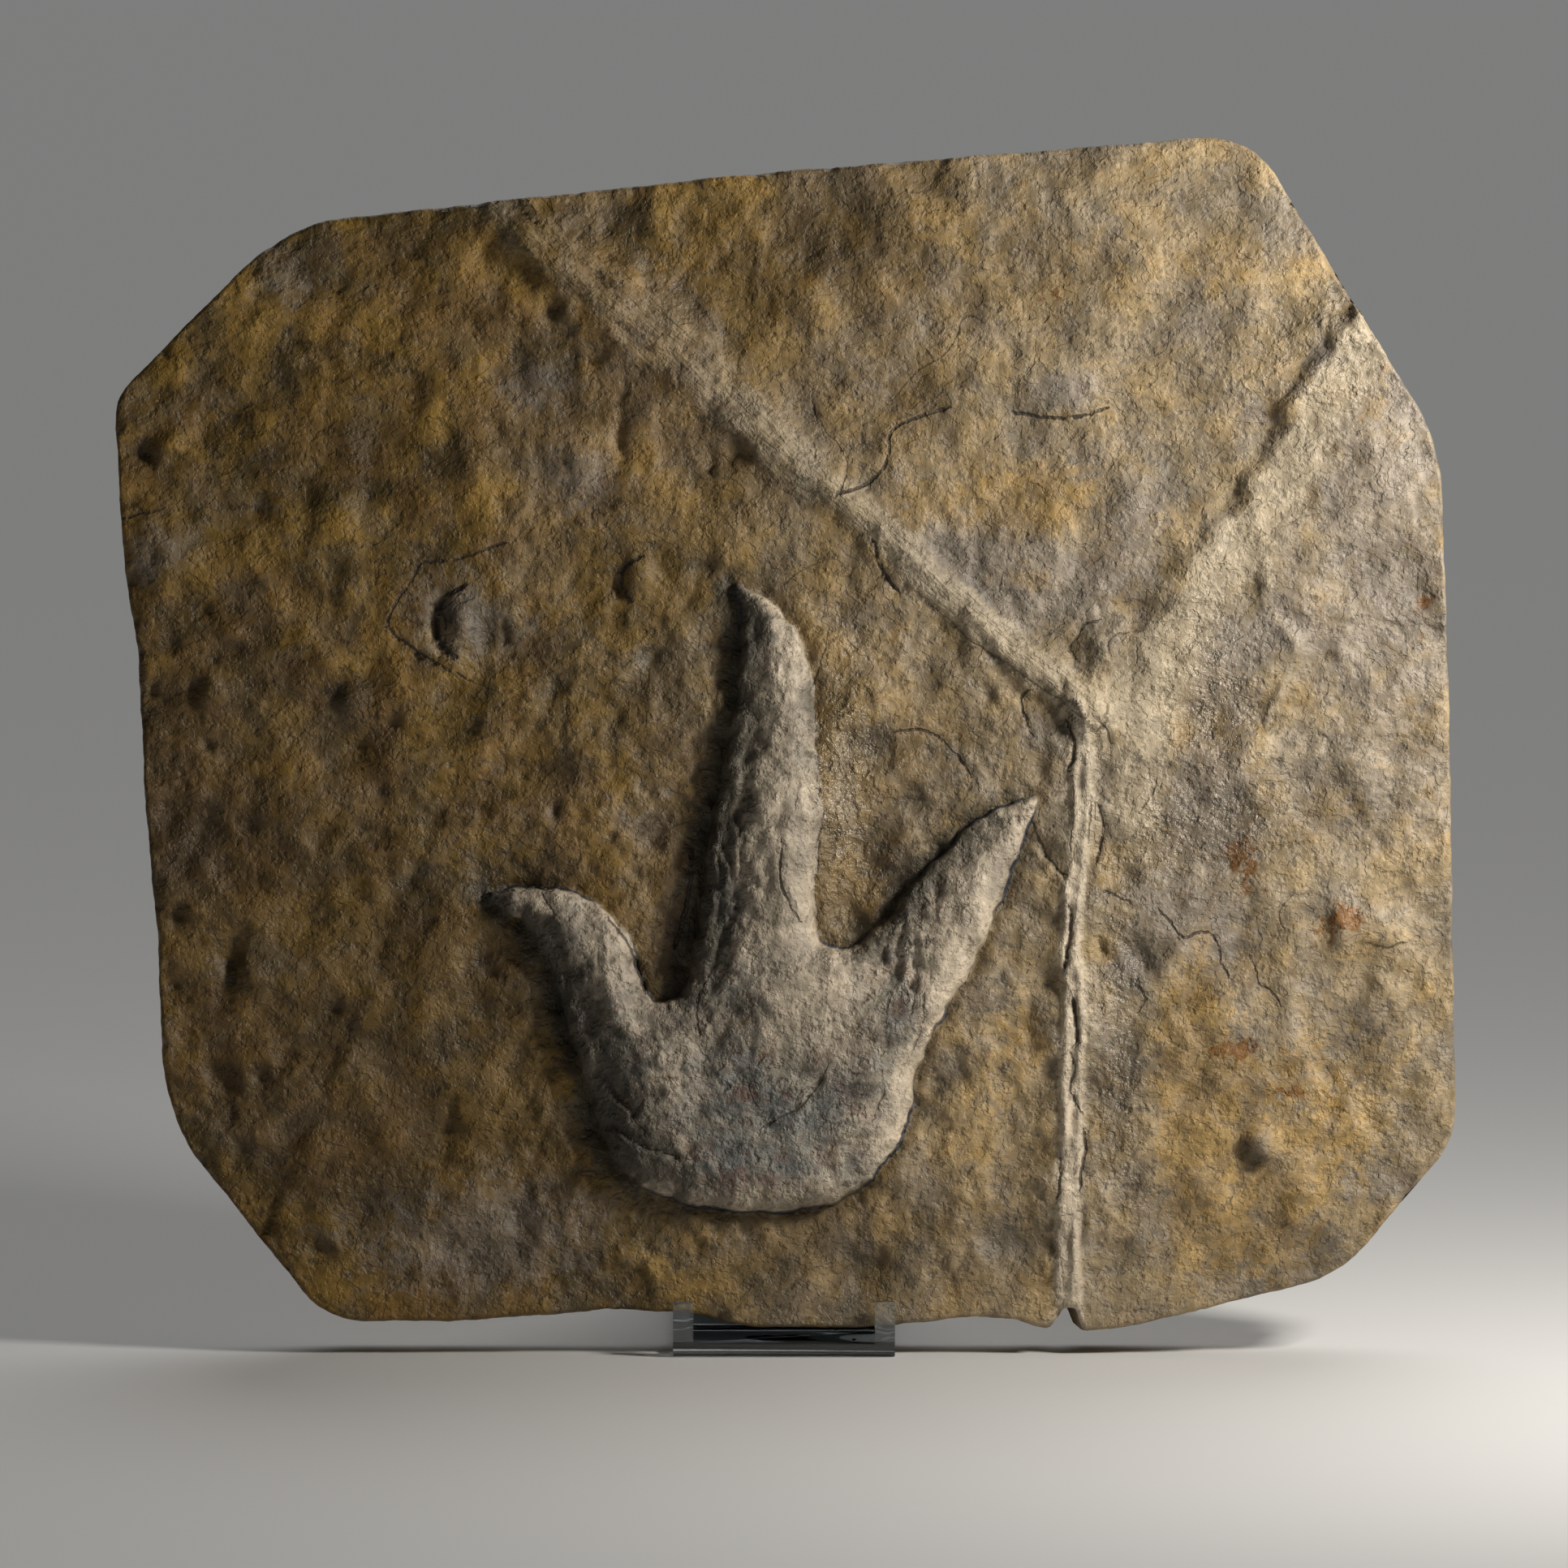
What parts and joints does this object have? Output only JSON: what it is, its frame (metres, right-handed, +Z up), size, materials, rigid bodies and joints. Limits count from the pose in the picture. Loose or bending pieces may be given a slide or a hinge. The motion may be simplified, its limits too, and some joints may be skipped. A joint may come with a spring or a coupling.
{
  "type": "grallator dinosaur footprint",
  "caption": "Mudstone slab with the raised natural cast of a three-toed dinosaur footprint and mud-crack ridges, leaning on a clear acrylic stand.",
  "frame": {"origin": "middle of the stand's underside, where it rests on a table", "axes": "+X to the right as the footprint is seen, +Y from the slab's face towards its back, +Z up"},
  "size_m": [0.3213, 0.1067, 0.2863],
  "materials": {
    "mudstone": "matte",
    "clear_acrylic": "gloss"
  },
  "bodies": {
    "root": {"slab": "mudstone", "stand": "clear_acrylic"}
  },
  "joints": []
}
